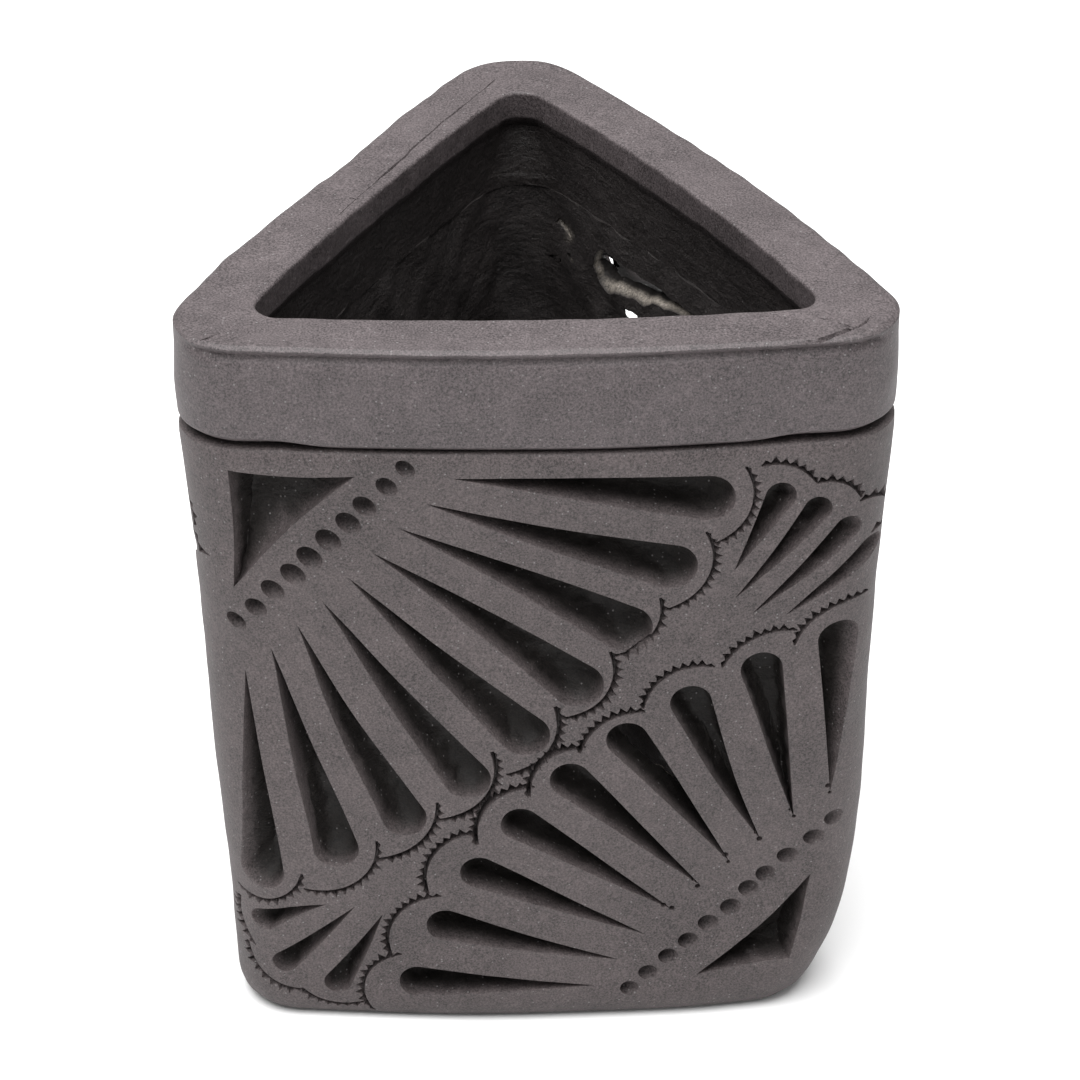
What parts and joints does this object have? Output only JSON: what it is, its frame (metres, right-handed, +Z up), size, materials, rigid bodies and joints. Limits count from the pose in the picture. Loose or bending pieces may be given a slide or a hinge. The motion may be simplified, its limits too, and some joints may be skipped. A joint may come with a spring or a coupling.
{
  "type": "carved clay pot",
  "caption": "Three-sided hollow pot of black clay with deeply carved flat walls, rounded upright corners and a plain thick rim, open at the top.",
  "frame": {"origin": "middle of the pot's plan box, on the plane it stands on", "axes": "+Z up, from the foot to the open mouth; the front carved wall faces -Y, and the rear corner points to +Y"},
  "size_m": [0.1, 0.0966, 0.118],
  "materials": {
    "clay": "matte, fired black, unglazed, with fine sandy grain",
    "inside_clay": "matte, rough, darker than the outside",
    "rim_clay": "matte, lightly burnished along its top edge"
  },
  "bodies": {
    "root": {"base_slab": "inside_clay", "front_wall": "clay", "left_wall": "clay", "right_wall": "clay", "corner_coil_left": "inside_clay", "corner_coil_right": "inside_clay", "corner_coil_back": "inside_clay", "foot_coil_front": "inside_clay", "foot_coil_left": "inside_clay", "foot_coil_right": "inside_clay", "rim_front": "rim_clay", "rim_left": "rim_clay", "rim_right": "rim_clay"}
  },
  "joints": []
}
